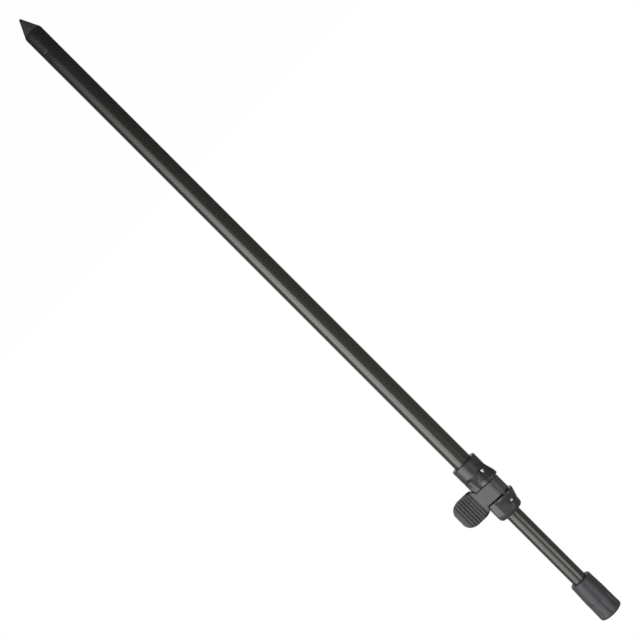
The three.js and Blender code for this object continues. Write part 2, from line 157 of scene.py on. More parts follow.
def fit(piece, body, slot, finish, *nodes):
    # the last step of a piece: its material, the body it moves with and the nodes it stands for
    piece.data.materials.clear()
    piece.data.materials.append(finish)
    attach(piece, body)
    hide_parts(*nodes)
    print(piece.name, "has", len(piece.data.polygons), "faces")


# Node trees

class Wire:
    # one socket of a node tree, so that its maths reads as Python
    def __init__(self, graph, socket):
        self.graph = graph
        self.socket = socket

    def out(self, name):
        return Wire(self.graph, self.socket.node.outputs[name])

    def maths(self, operation, *values):
        sockets = dict(enumerate((self, *values)))
        return self.graph.node("ShaderNodeMath", {"operation": operation}, sockets)

    def __add__(self, other):
        return self.maths("ADD", other)

    def __sub__(self, other):
        return self.maths("SUBTRACT", other)

    def __rsub__(self, other):
        return self.graph.node("ShaderNodeMath", {"operation": "SUBTRACT"}, {0: other, 1: self})

    def __mul__(self, other):
        return self.maths("MULTIPLY", other)

    def __truediv__(self, other):
        return self.maths("DIVIDE", other)

    def __rtruediv__(self, other):
        return self.graph.node("ShaderNodeMath", {"operation": "DIVIDE"}, {0: other, 1: self})

    def __abs__(self):
        return self.maths("ABSOLUTE")

    __radd__ = __add__
    __rmul__ = __mul__


class Graph:
    def __init__(self, tree):
        self.tree = tree

    def node(self, kind, settings=None, sockets=None, output=0):
        made = self.tree.nodes.new(kind)
        for name, value in (settings or {}).items():
            setattr(made, name, value)
        for name, value in (sockets or {}).items():
            self.plug(made.inputs[name], value)
        return Wire(self, made.outputs[output]) if made.outputs else made

    def plug(self, socket, value):
        if isinstance(value, Wire):
            self.tree.links.new(value.socket, socket)
        else:
            socket.default_value = value

    def ranged(self, value, low, high, atLow, atHigh, kind="SMOOTHSTEP"):
        return self.node("ShaderNodeMapRange", {"interpolation_type": kind}, {
            "Value": value, "From Min": low, "From Max": high, "To Min": atLow, "To Max": atHigh})


# Camera, where the photograph was taken from

view = {
    "away": 1100,  # from the stick's axis
    "height": 331,
    "lens": 79.45,
    "roll": 135,  # degrees; the spike points to the upper left
}

camera = bpy.data.objects.new("camera", bpy.data.cameras.new("camera"))
scene.collection.objects.link(camera)
camera.data.lens = view["lens"]
camera.matrix_world = (Matrix.Translation((0, -view["away"] * mm, view["height"] * mm))
                       @ Matrix.Rotation(-math.radians(view["roll"]), 4, "Y")
                       @ Matrix.Rotation(math.pi / 2, 4, "X"))
scene.camera = camera
print("camera stands", view["away"], "mm from the stick")


# Materials

def finishGraph(name):
    material = bpy.data.materials.new(name)
    material.use_nodes = True
    material.node_tree.nodes.clear()
    return material, Graph(material.node_tree)


def coat(graph, colour, roughness, height, relief, constants):
    # the shader; relief is how high the bumps of height stand, in metres
    bumps = graph.node("ShaderNodeBump", None, {"Height": height, "Distance": relief, "Strength": 1})
    shader = graph.node("ShaderNodeBsdfPrincipled", None, {
        "Base Color": colour, "Roughness": roughness, "Normal": bumps, **constants})
    graph.node("ShaderNodeOutputMaterial", None, {"Surface": shader})


def noise(graph, where, scale, detail=3, stretch=(1, 1, 1)):
    # a stretch below 1 draws the pattern out along that axis
    drawn = graph.node("ShaderNodeMapping", None, {"Vector": where, "Scale": stretch})
    return graph.node("ShaderNodeTexNoise", None, {
        "Vector": drawn, "Scale": scale, "Detail": detail}, "Fac")


def blended(graph, share, low, high):
    # a colour between two, each plain or from another node
    low, high = ((*c, 1) if isinstance(c, tuple) else c for c in (low, high))
    return graph.node("ShaderNodeMix", {"data_type": "RGBA"}, {0: share, 6: low, 7: high}, 2)


# noise scales are per metre, and the names ending in Tint, Rough and High say how much a pattern
# does to the colour, the roughness and the relief
drawnTube = {
    "lines": 1500, "linesAlong": 0.003, "broad": 120, "broadAlong": 0.05,
    "scuffs": 700, "scuffsAlong": 0.25, "scuffsFrom": 0.66, "scuffsFull": 0.78,
    # painted shade: between these heights the colour goes from the darker low colour near the tip to the
    # lighter, greener high one
    "lowUp": 0.03, "highUp": 0.3,  # metres above the tip, where the colour goes from low to high
    "linesTint": 0.12, "scuffsTint": 0.08, "linesRough": 0.09, "broadRough": 0.06, "scuffsRough": 0.08,
    "linesHigh": 0.6, "broadHigh": 0.4, "relief": 0.000006,
}


def tubeFinish(name, looks):
    # anodised tube: fine draw lines along it, a slow painted shade that darkens its colour towards the
    # tip, and a few light scuffs
    material, graph = finishGraph(name)
    where = graph.node("ShaderNodeTexCoord", output="Object")
    lines = noise(graph, where, drawnTube["lines"], 2, (1, 1, drawnTube["linesAlong"]))
    broad = noise(graph, where, drawnTube["broad"], 2, (1, 1, drawnTube["broadAlong"]))
    patches = noise(graph, where, drawnTube["scuffs"], 2, (1, 1, drawnTube["scuffsAlong"]))
    scuffs = graph.ranged(patches, drawnTube["scuffsFrom"], drawnTube["scuffsFull"], 0, 1)
    # painted shade: the colour is darker towards the tip, where less light falls, and lighter and
    # greener up the tube
    up = graph.node("ShaderNodeSeparateXYZ", None, {"Vector": where}, "Z")
    rise = graph.ranged(up, drawnTube["lowUp"], drawnTube["highUp"], 0, 1)
    wear = lines * drawnTube["linesTint"] + scuffs * drawnTube["scuffsTint"]
    scuffedAndShaded = blended(graph, wear, blended(graph, rise, looks["low"], looks["high"]), looks["rubbed"])
    roughness = looks["roughness"] + lines * drawnTube["linesRough"] + broad * drawnTube["broadRough"]
    coat(graph, scuffedAndShaded, roughness + scuffs * drawnTube["scuffsRough"],
         lines * drawnTube["linesHigh"] + broad * drawnTube["broadHigh"], drawnTube["relief"],
         {"IOR": looks["ior"]})
    return material


cast = {
    "fine": 3500, "cloud": 110, "pores": 1900, "poresFull": 0.26, "poresNone": 0.34,
    "peelTint": 0.4, "cloudTint": 0.6, "tintLow": 0.35, "tintHigh": 0.65, "poresTint": 0.5,
    "peelRough": 0.1, "fineRough": 0.05, "peelHigh": 0.65, "fineHigh": 0.25, "poresDeep": 0.3,
}


def castFinish(name, looks):
    # painted casting or moulding: a fine orange peel, faint clouding and small pores
    material, graph = finishGraph(name)
    where = graph.node("ShaderNodeTexCoord", output="Object")
    peel = noise(graph, where, looks["peel"], 3)
    fine = noise(graph, where, cast["fine"], 2)
    cloud = noise(graph, where, cast["cloud"], 3)
    specks = noise(graph, where, cast["pores"], 1)
    pores = graph.ranged(specks, cast["poresFull"], cast["poresNone"], 1, 0)
    tint = graph.ranged(peel * cast["peelTint"] + cloud * cast["cloudTint"],
                        cast["tintLow"], cast["tintHigh"], 0, 1)
    colour = blended(graph, tint, looks["dark"], looks["light"])
    colour = blended(graph, pores * cast["poresTint"], colour, looks["pore"])
    # painted shade: a mesh attribute darkens the colour in grooves, creases and along edges
    if "hollow" in looks:
        hollow = graph.node("ShaderNodeAttribute", {"attribute_name": "hollow"}, output="Fac")
        colour = blended(graph, hollow, colour, looks["hollow"])
    roughness = looks["roughness"] + peel * cast["peelRough"] + fine * cast["fineRough"]
    height = peel * cast["peelHigh"] + fine * cast["fineHigh"] - pores * cast["poresDeep"]
    coat(graph, colour, roughness + cloud * looks["clouding"], height, looks["relief"],
         {"IOR": looks["ior"]})
    return material


# coneFoot and coneTop are where the lighter colour of the spike's cone fades: from one height to
# another, in metres, and its share at each
lathe = {
    "across": 0.02, "cloud": 160, "ringsTint": 0.5, "cloudTint": 0.5,
    "ringsRough": 0.1, "cloudRough": 0.05,
    "coneFoot": (0.001, 0.004, 0, 1), "coneTop": (0.0135, 0.0158, 1, 0), "rubbedLeast": 0.3,
}


def turnedFinish(name, looks):
    # rings left by the lathe, with faint clouding
    material, graph = finishGraph(name)
    where = graph.node("ShaderNodeTexCoord", output="Object")
    rings = noise(graph, where, looks["rings"], 2, (lathe["across"], lathe["across"], 1))
    cloud = noise(graph, where, lathe["cloud"], 3)
    tint = rings * lathe["ringsTint"] + cloud * lathe["cloudTint"]
    colour = blended(graph, tint, looks["dark"], looks["light"])
    if "rubbed" in looks:
        # the cone's colour is lighter in cloudy patches, fading out at its tip and where the straight
        # part starts
        up = graph.node("ShaderNodeSeparateXYZ", None, {"Vector": where}, "Z")
        cone = graph.ranged(up, *lathe["coneTop"]) * graph.ranged(up, *lathe["coneFoot"])
        colour = blended(graph, cone * (cloud + lathe["rubbedLeast"]), colour, looks["rubbed"])
    roughness = looks["roughness"] + rings * lathe["ringsRough"] + cloud * lathe["cloudRough"]
    coat(graph, colour, roughness, rings, looks["relief"],
         {"Metallic": looks["metallic"], "IOR": looks["ior"]})
    return material


tubeBlack = tubeFinish("anodised_tube", {
    # low and high are the colours of the painted shade, near the tip and up the tube
    "low": (0.013, 0.013, 0.012), "high": (0.026, 0.027, 0.018), "rubbed": (0.11, 0.11, 0.105),
    "roughness": 0.18, "ior": 1.9})
mastBlack = tubeFinish("anodised_mast", {
    "low": (0.02, 0.02, 0.017), "high": (0.026, 0.026, 0.02), "rubbed": (0.11, 0.11, 0.105),
    "roughness": 0.17, "ior": 1.9})
spikeBlack = turnedFinish("turned_spike", {
    "dark": (0.011, 0.011, 0.01), "light": (0.017, 0.017, 0.016), "rubbed": (0.075, 0.075, 0.074),
    "rings": 2400, "relief": 0.000006, "roughness": 0.2, "metallic": 0, "ior": 1.9})
housingGrey = castFinish("painted_housing", {
    "dark": (0.03, 0.03, 0.031), "light": (0.046, 0.046, 0.047), "pore": (0.018, 0.018, 0.018),
    "peel": 900, "relief": 0.00004, "roughness": 0.13, "clouding": 0.28, "ior": 1.8})
leverGrey = castFinish("painted_lever", {
    "dark": (0.066, 0.067, 0.07), "light": (0.09, 0.091, 0.095), "pore": (0.03, 0.03, 0.032),
    # the colour of the painted shade in the grooves, along the shoulders and in the hub's crease
    "hollow": (0.006, 0.006, 0.006),
    "peel": 900, "relief": 0.00002, "roughness": 0.29, "clouding": 0.1, "ior": 1.66})
headGrey = castFinish("moulded_head", {
    "dark": (0.052, 0.051, 0.058), "light": (0.07, 0.068, 0.078), "pore": (0.03, 0.03, 0.034),
    "peel": 1300, "relief": 0.00003, "roughness": 0.27, "clouding": 0.1, "ior": 1.6})
nylonBlack = castFinish("nylon_black", {
    "dark": (0.014, 0.014, 0.015), "light": (0.022, 0.022, 0.023), "pore": (0.01, 0.01, 0.01),
    "peel": 1500, "relief": 0.00002, "roughness": 0.4, "clouding": 0.04, "ior": 1.5})
ringRubber = castFinish("ring_rubber", {
    "dark": (0.008, 0.008, 0.008), "light": (0.015, 0.015, 0.015), "pore": (0.006, 0.006, 0.006),
    "peel": 2000, "relief": 0.00001, "roughness": 0.58, "clouding": 0.04, "ior": 1.5})
polishedSteel = turnedFinish("polished_steel", {
    "dark": (0.6, 0.61, 0.62), "light": (0.8, 0.81, 0.82),
    "rings": 3000, "relief": 0.000003, "roughness": 0.45, "metallic": 1, "ior": 1.5})
insertBrass = turnedFinish("insert_brass", {
    "dark": (0.42, 0.27, 0.09), "light": (0.62, 0.42, 0.16),
    "rings": 2600, "relief": 0.000004, "roughness": 0.24, "metallic": 1, "ior": 1.5})
print("materials are made")


# Ground tube, spike and mast

spike = {
    "tube": 8, "cone": 15.3, "coneEase": 0.8, "tip": 0.75, "tipHigh": 0.25, "tipEase": 0.3,
    "length": 35, "seam": 0.15, "seamEase": 0.2, "spigot": 7, "top": 50.85, "topEase": 0.8,
    "rowStep": 2.5, "sides": 128,
}

seat = spike["length"] - spike["seam"]
profile = softened([
    (0, 0, 0), (spike["tip"], spike["tipHigh"], spike["tipEase"]),
    (spike["tube"], spike["cone"], spike["coneEase"]), (spike["tube"], seat, spike["seamEase"]),
    (spike["spigot"], seat, spike["seamEase"]), (spike["spigot"], spike["top"], spike["topEase"]),
    (0, spike["top"], 0)])
groundSpike = turned("ground_spike", filled(profile, spike["rowStep"]), spike["sides"])
smooth(groundSpike)
fit(groundSpike, "outer", "spike_black", spikeBlack, "spike_point")

tubes = {
    "ground": 8, "groundWall": 0.9, "mast": 6.35, "mastWall": 1,
    "rimEase": 0.18, "rowStep": 12, "sides": 128,
}


def tubePiece(name, node, outer, wall):
    # the tube runs as long as the node it stands for, with its four rims eased
    low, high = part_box(node)[0].z / mm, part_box(node)[1].z / mm
    ease = tubes["rimEase"]
    profile = softened([(outer - wall, low, ease), (outer, low, ease), (outer, high, ease),
                        (outer - wall, high, ease)], steps=3)
    piece = turned(name, filled([*profile, profile[0]], tubes["rowStep"])[:-1], tubes["sides"], True)
    smooth(piece)
    return piece


groundTube = tubePiece("ground_tube", "outer_tube", tubes["ground"], tubes["groundWall"])
fit(groundTube, "outer", "tube_black", tubeBlack, "outer_tube")
mastTube = tubePiece("mast_tube", "inner_tube", tubes["mast"], tubes["mastWall"])
fit(mastTube, "mast", "tube_black", mastBlack, "inner_tube")


# Clamp housing

clamp = {
    "base": 488.3, "top": 542.2, "middle": 517.95,
    # the round sleeve and collar, and how their end rims are eased
    "sleeve": 11.4, "sleeveEaseHigh": 1.4, "sleeveEaseDeep": 0.5,
    "collarEaseHigh": 3.4, "collarEaseDeep": 1.9,
    # the squarer middle, which grows out of the sleeve, with corners that draw in up to slideTop
    "body": 11.3, "blockLow": 498.8, "blockHigh": 543.4, "blendLow": 2.8, "blendHigh": 7.5,
    "slideTop": 510, "slideLong": 11, "slide": 1.9,
    "cornerX": 4.6, "cornerY": -8.6, "corner": 3, "flankX": 8.6, "flankY": -6.5, "flank": 2.5,
    # the window for the lever, half as high as windowHalf and windowMore higher at its top
    "windowHalf": 7.35, "windowMore": 0.45, "windowBack": -0.6, "windowSkin": 0.06, "windowFar": 24,
    "windowEdge": 0.35, "edgeShare": 0.8, "edgeBlend": 0.8,
    # the pin and its pockets
    "pinX": -6.592, "pinY": -9.884, "pinHole": 1.85, "pinLow": 500.2, "pinHigh": 534.5,
    "pocket": 2.4, "pocketRim": 0.45, "lowerPocket": 2.7, "upperPocket": 2, "pocketGap": 0.35,
    # the lever's hub, which the ears stand round
    "drumY": -8.284, "drumStep": 2.5, "hub": 8.1, "earCore": 8, "fillet": 0.15, "rampStart": 1,
    # the bores, which lead in at both ends
    "tubeSeat": 8.12, "linerTop": 525.6, "bushSeat": 7.67, "bushTop": 541, "lip": 6.8,
    "lead": 2.4, "leadDeep": 0.4, "cutPast": 2,
    # sides of the cutters, and how finely its outlines are worked out
    "boreSides": 96, "pinSides": 48, "windowSides": 180, "sharpFrom": 19,
    "tangents": 720, "leastFacing": 0.2,
}
clamp["windowLow"] = clamp["middle"] - clamp["windowHalf"]
clamp["windowHigh"] = clamp["middle"] + clamp["windowHalf"] + clamp["windowMore"]

# each ear: its lip past the hub, and the ramps that take it down again, each after a land: beside
# it, in front, and towards the paddle
ears = {
    "lower": {"lip": 1.4, "sideLand": 1.2, "sideSlope": 0.26, "faceLand": 1.9, "faceSlope": 0.62,
              "frontLand": 1.9, "frontSlope": 0.3},
    "upper": {"lip": 1.75, "sideLand": 0.4, "sideSlope": 0.4, "faceLand": 1, "faceSlope": 0.6,
              "frontLand": 1, "frontSlope": 0.3},
}

# rows of points up the clamp's skin: a level, how far past it, and the step between rows there
skinRows = (
    ("base", 0, 0.08), ("base", 2, 0.3), ("pinLow", -2, 0.3), ("pinLow", -1, 0.15), ("pinLow", 4, 0.15),
    ("windowLow", -0.8, 0.3), ("windowLow", -0.5, 0.1), ("windowLow", 0, 0.06), ("windowLow", 0.1, 0.1),
    ("windowLow", 1, 0.9), ("windowHigh", -1, 0.9), ("windowHigh", -0.1, 0.1), ("windowHigh", 0, 0.06),
    ("windowHigh", 0.5, 0.1), ("windowHigh", 0.8, 0.3), ("pinHigh", -3.4, 0.15), ("pinHigh", 1, 0.15),
    ("top", -5, 0.2), ("top", -0.5, 0.1), ("top", 0, 0.05),
)
# and round it, in degrees, closer together where the pin's pockets are
skinTurns = ((-180, 1.6), (-165, 1), (-150, 0.6), (-100, 0.6), (-85, 1.6), (180, 1.6))


def spaced(*marks):
    # positions from (place, step) marks, the step changing from mark to mark
    places = [marks[0][0]]
    for (a, stepA), (b, stepB) in zip(marks, marks[1:]):
        parts = max(1, round(2 * (b - a) / (stepA + stepB)))
        places += list(np.linspace(a, b, parts + 1)[1:])
    return np.array(places)


def outlineReach(angles, circles):
    # how far the outline round some circles (x, y, radius) reaches from the stick's axis, by
    # direction: the nearest of its tangents that face that way
    normals = np.linspace(0, turn, clamp["tangents"], endpoint=False)
    reach = np.max([x * np.cos(normals) + y * np.sin(normals) + r for x, y, r in circles], 0)
    facing = np.cos(normals[None, :] - angles[:, None])
    faces = facing > clamp["leastFacing"]
    return np.min(np.where(faces, reach[None, :] / np.where(faces, facing, 1), np.inf), 1)


def blockReach(angles, wider=0):
    # the squarer middle of the body: a flat front, and a rounded flank on each side
    corners = [(side * (clamp["cornerX"] + wider), clamp["cornerY"], clamp["corner"])
               for side in (-1, 1)]
    flanks = [(side * clamp["flankX"], clamp["flankY"], clamp["flank"]) for side in (-1, 1)]
    return outlineReach(angles, [(0, 0, clamp["body"]), *corners, *flanks])


def bodyReach(angles, z):
    # sleeve, middle and collar without the ears
    low = np.clip(1 - (z - clamp["base"]) / clamp["sleeveEaseHigh"], 0, 1)
    high = np.clip(1 - (clamp["top"] - z) / clamp["collarEaseHigh"], 0, 1)
    share = np.clip([(z - clamp["blockLow"]) / clamp["blendLow"],
                     (clamp["blockHigh"] - z) / clamp["blendHigh"]], 0, 1)
    share = np.prod(eased(share))
    wider = clamp["slide"] * np.clip((clamp["slideTop"] - z) / clamp["slideLong"], 0, 1)
    reach = clamp["sleeve"] + (blockReach(angles, wider) - clamp["sleeve"]) * share
    reach = reach - clamp["sleeveEaseDeep"] * (1 - np.sqrt(1 - low ** 2))
    return reach - clamp["collarEaseDeep"] * (1 - np.sqrt(1 - high ** 2))


def ramp(past, slope):
    # how much a ramp has taken off, a length past its start
    return slope * (math.hypot(max(past, 0), clamp["rampStart"]) - clamp["rampStart"])


def earReach(angles, z):
    if z < clamp["middle"]:
        ear, away = ears["lower"], clamp["windowLow"] - z
    else:
        ear, away = ears["upper"], z - clamp["windowHigh"]
    side, face, front = (ramp(away - ear[part + "Land"], ear[part + "Slope"])
                         for part in ("side", "face", "front"))
    radius, step = clamp["hub"] + ear["lip"], clamp["drumStep"]
    return outlineReach(angles, [
        (0, 0, clamp["earCore"]),
        (clamp["pinX"], clamp["drumY"] + face - side, radius - step - side),
        (clamp["pinX"] + step, clamp["drumY"] + step + face - front, radius - front)])


def skinRing(angles, z):
    # one row of the skin: body and ear with a small fillet between, eased at the window's edges
    body, ear = bodyReach(angles, z), earReach(angles, z)
    fillet = clamp["fillet"]
    near = np.clip(fillet - np.abs(ear - body), 0, None) / fillet
    radii = np.maximum(ear, body) + near ** 2 * fillet / 4 * np.clip(np.max(ear - body), 0, 1)
    edge = 1
    if z <= clamp["windowLow"] or z >= clamp["windowHigh"]:
        away = min(abs(z - clamp["windowLow"]), abs(z - clamp["windowHigh"]))
        edge = 1 - math.sqrt(1 - max(1 - away / clamp["windowEdge"], 0) ** 2)
    proud = np.clip((radii - body) / clamp["edgeBlend"], 0, 1)
    radii = radii - clamp["windowEdge"] * clamp["edgeShare"] * edge * proud
    return raised(radii[:, None] * directions(angles), z)


def pressPocket(rings, low, high):
    # the pocket that shows the pin's end: the skin goes back to the pin's far side inside its outline
    half = (high - low) / 2
    floor = clamp["pinY"] + clamp["pinHole"]
    for ring in rings:
        across = np.maximum(np.abs(ring[:, 0] - clamp["pinX"]) - max(clamp["pocket"] - half, 0), 0)
        away = np.hypot(across, ring[:, 2] - low - half) - half
        share = eased(np.clip(0.5 - away / clamp["pocketRim"], 0, 1)) * (ring[:, 1] < 0)
        ring[:, 1] += np.maximum(floor - ring[:, 1], 0) * share


heights = spaced(*[(clamp[level] + past, step) for level, past, step in skinRows])
angles = np.radians(spaced(*skinTurns)[:-1])
skin = [skinRing(angles, z) for z in heights]
pinLow, pinHigh = clamp["pinLow"], clamp["pinHigh"]
pressPocket(skin, pinLow - clamp["pocketGap"], pinLow + clamp["lowerPocket"])
pressPocket(skin, pinHigh - clamp["upperPocket"], pinHigh + clamp["pocketGap"])
clampHousing = loft("clamp_body", skin)

low, high = clamp["base"] - clamp["cutPast"], clamp["top"] + clamp["cutPast"]
bores = turned("bores", [
    (0, low), (clamp["tubeSeat"] + clamp["lead"], low),
    (clamp["tubeSeat"], clamp["base"] + clamp["leadDeep"]), (clamp["tubeSeat"], clamp["linerTop"]),
    (clamp["bushSeat"], clamp["linerTop"]), (clamp["bushSeat"], clamp["bushTop"]),
    (clamp["lip"], clamp["bushTop"]), (clamp["lip"], clamp["top"] - clamp["leadDeep"]),
    (clamp["lip"] + clamp["lead"], high), (0, high)], clamp["boreSides"])
cutAway(clampHousing, bores)

# the window opens the front and trims the ears round the body
around = np.linspace(0, turn, clamp["windowSides"], endpoint=False)
compass = directions(around)
core = clamp["body"] + clamp["windowSkin"]
forward = np.minimum(np.sin(around), -0.02)  # never 0, as it divides
kept = np.where(np.sin(around) * core < clamp["windowBack"], clamp["windowBack"] / forward, core)
kept = np.minimum(kept, core)
inner = kept[:, None] * compass
outer = clamp["windowFar"] * compass
low, high = clamp["windowLow"], clamp["windowHigh"]
window = loft("window", [raised(p, z) for p, z in (
    (inner, low), (outer, low), (outer, high), (inner, high))], True)
cutAway(clampHousing, window)


def pinCutter(low, high):
    # a round cutter on the pin's axis
    return turned("pin_cutter", [(0, low), (clamp["pinHole"], low), (clamp["pinHole"], high), (0, high)],
                  clamp["pinSides"], False, (clamp["pinX"], clamp["pinY"]))


cutAway(clampHousing, pinCutter(pinLow - clamp["pocketGap"], pinHigh + clamp["pocketGap"]))
smooth(clampHousing, clamp["sharpFrom"])
fit(clampHousing, "outer", "clamp_grey", housingGrey, "clamp_housing")

pin = {"radius": 1.7, "dome": 0.45, "rowStep": 3, "sides": 48, "sharpFrom": 50}
profile = softened([(0, pinLow, 0), (pin["radius"], pinLow, pin["dome"]),
                    (pin["radius"], pinHigh, pin["dome"]), (0, pinHigh, 0)])
pivotPin = turned("hinge_pin", filled(profile, pin["rowStep"]), pin["sides"], False,
                  (clamp["pinX"], clamp["pinY"]))
smooth(pivotPin, pin["sharpFrom"])
fit(pivotPin, "outer", "polished_steel", polishedSteel, "pivot_pin")


# Cam lever

lever = {
    # plan: hub, arm, heel at the back, and the paddle on a slope of its own
    "half": 6.71, "creaseX": -4.9, "armTilt": 19, "padTilt": 6, "bendX": 13.2,
    "rootX": 15.6, "rootThick": 3.7, "heelFrom": 2, "heelX": 12.2, "heelY": -0.95,
    "reach": 34, "tipThick": 3, "tipLeast": 0.02,
    # front view: the flare from the band to the paddle, and the paddle's corners
    "padHalf": 12.13, "flareX": 9.6, "flarePullX": 10.8, "flarePull": 12.1, "flareEndX": 17,
    "cornerX": 25, "cornerPullX": 32.6, "cornerPull": 11.2, "tipHalf": 5,
    # rounding of the edges on the hub, the shoulders and the paddle, and its most by thickness
    "easeX": (11, 14, 18), "ease": (0.5, 1.4, 1.1), "easeMost": 0.48,
    # room for the housing and for the shoe's track, as the lever swings
    "clear": 0.35, "sweep": 8.3, "openSweep": 8.6, "cam": 11.88, "swing": 80, "rise": 14,
    "cutPast": 2, "boreHalf": 9,
    # rows along it: how far the close rows at both ends run, and (x, step) marks between them
    "hubEnd": 4, "hubNext": 4.3, "hubStep": 0.35, "tipEnd": 3, "endRows": 26,
    "marks": ((9, 0.3), (9.6, 0.12), (13.8, 0.12), (31, 0.12)),
    # points across it, on its front, its back and each rounded edge, on its curves, and round
    # the shoe's track
    "frontRows": 41, "backRows": 13, "edgeRows": 7, "curveRows": 60, "outerRows": 48, "innerRows": 32,
}


def bezier(a, b, c, count):
    t = np.linspace(0, 1, count)[:, None]
    return (1 - t) ** 2 * np.array(a) + 2 * t * (1 - t) * np.array(b) + t * t * np.array(c)


def padHalf(xs):
    # half the lever's width, from the band over the shoulder to the paddle's tip
    flare = bezier((lever["flareX"], lever["half"]), (lever["flarePullX"], lever["flarePull"]),
                   (lever["flareEndX"], lever["padHalf"]), lever["curveRows"])
    corner = bezier((lever["cornerX"], lever["padHalf"]), (lever["cornerPullX"], lever["cornerPull"]),
                    (lever["reach"], lever["tipHalf"]), lever["curveRows"])
    outline = np.concatenate([flare, corner])
    return np.interp(xs, outline[:, 0], outline[:, 1])


def leverStations():
    # plan of the lever from the hub's far side to the paddle's tip: front face, back face, half width
    side = np.array([clamp["pinX"], clamp["drumY"]])
    face = side + clamp["drumStep"]
    small, large = clamp["hub"] - clamp["drumStep"], clamp["hub"]
    tilt, pad = math.radians(lever["armTilt"]), math.radians(lever["padTilt"])
    start = face + large * np.array([math.sin(tilt), -math.cos(tilt)])
    bendY = start[1] + (lever["bendX"] - start[0]) * math.tan(tilt)
    tipR = lever["tipThick"] / 2
    tipX = lever["reach"] - tipR
    tipY = bendY + (tipX - lever["bendX"]) * math.tan(pad) + tipR
    left = side[0] - small

    quarter = np.linspace(0, math.pi / 2, lever["endRows"])
    marks = lever["marks"]
    xs = np.unique(np.round(np.concatenate([
        left + lever["hubEnd"] * (1 - np.cos(quarter)),
        spaced((left + lever["hubNext"], lever["hubStep"]), marks[0])[:-1],
        spaced(*marks)[:-1],
        lever["reach"] - lever["tipEnd"] + lever["tipEnd"] * np.sin(quarter)]), 4))

    # the hub's front is two arcs that meet at its corner
    corner, rows = -3 * math.pi / 4, lever["curveRows"]
    hub = np.concatenate([arc(face, large, tilt - math.pi / 2, corner, rows),
                          arc(side, small, corner, -math.pi, rows)])[::-1]
    front = np.interp(xs, [*hub[:, 0], lever["bendX"], tipX], [*hub[:, 1], bendY, tipY - tipR])
    back = np.interp(xs, [left, left + lever["heelFrom"], lever["heelX"], lever["rootX"], tipX],
                     [face[1], lever["heelY"], lever["heelY"], bendY + lever["rootThick"], tipY + tipR])
    end = np.sqrt(np.clip(tipR ** 2 - np.clip(xs - tipX, 0, tipR) ** 2, lever["tipLeast"] ** 2, None))
    front = np.where(xs > tipX, tipY - end, front)
    back = np.where(xs > tipX, tipY + end, back)
    return xs, front, back, padHalf(xs), np.interp(xs, lever["easeX"], lever["ease"])


def leverSection(x, front, back, half, ease):
    # a rounded oblong across the lever, finer on its front
    ease = min(ease, (back - front) * lever["easeMost"])
    bend = np.linspace(0, math.pi / 2, lever["edgeRows"])
    wide = half - ease
    section = [(front, z) for z in np.linspace(-wide, wide, lever["frontRows"])]
    section += [(front + ease * (1 - math.cos(a)), wide + ease * math.sin(a)) for a in bend[1:]]
    section += [(back - ease * (1 - math.sin(a)), wide + ease * math.cos(a)) for a in bend]
    section += [(back, z) for z in np.linspace(wide, -wide, lever["backRows"])[1:]]
    section += [(back - ease * (1 - math.cos(a)), -wide - ease * math.sin(a)) for a in bend[1:]]
    section += [(front + ease * (1 - math.sin(a)), -wide - ease * math.cos(a)) for a in bend[:-1]]
    return [(x, y, clamp["middle"] + z) for y, z in section]


def sweepOutline(radius, first, last):
    # the space the shoe takes up, seen from the lever as it swings
    towards = math.atan2(-clamp["pinY"], -clamp["pinX"])
    start, end = towards + math.radians(first), towards + math.radians(last)
    centre = np.array([clamp["pinX"], clamp["pinY"]])
    outer, inner = lever["outerRows"], lever["innerRows"]

    def at(a):
        return centre + lever["cam"] * np.array([math.cos(a), math.sin(a)])

    return np.concatenate([arc(centre, lever["cam"] + radius, start, end, outer)[:-1],
                           arc(at(end), radius, end, end + math.pi, inner)[:-1],
                           arc(centre, lever["cam"] - radius, end, start, inner)[:-1],
                           arc(at(start), radius, start + math.pi, start + turn, outer)[:-1]])


camLever = loft("clamp_lever", [leverSection(*row) for row in zip(*leverStations())])
middle, half = clamp["middle"], lever["half"]
deep = lever["padHalf"] + lever["cutPast"]
for radius, first in ((lever["sweep"], 0), (lever["openSweep"], lever["rise"])):
    outline = sweepOutline(radius, first, lever["swing"])
    cutAway(camLever, slab("sweep", outline, middle - deep, middle + deep))
rim = (blockReach(around) + lever["clear"])[:, None] * compass
cutAway(camLever, slab("rim", rim, middle - deep, middle - half))
cutAway(camLever, slab("rim", rim, middle + half, middle + deep))
cutAway(camLever, pinCutter(middle - lever["boreHalf"], middle + lever["boreHalf"]))

# Flat and Brim are where a groove's floor ends and where its side does, from its middle, as shares
# of Width; only what faces the front moves, with a normal whose Y is below Facing
grooves = {"Count": 7, "First": 13.95, "Pitch": 2.47, "Width": 1.75, "Flat": 0.1, "Brim": 0.55,
           "Depth": 0.9, "Half length": 11.03, "Run out": 0.8, "Middle": clamp["middle"], "Facing": -0.4}
# the inputs of the trees that are lengths, given in millimetres
lengths = ("First", "Pitch", "Width", "Depth", "Half length", "Run out", "Middle", "Length", "Outside",
           "Crest", "Root", "Floor", "Mouth", "Lead in", "Foot")


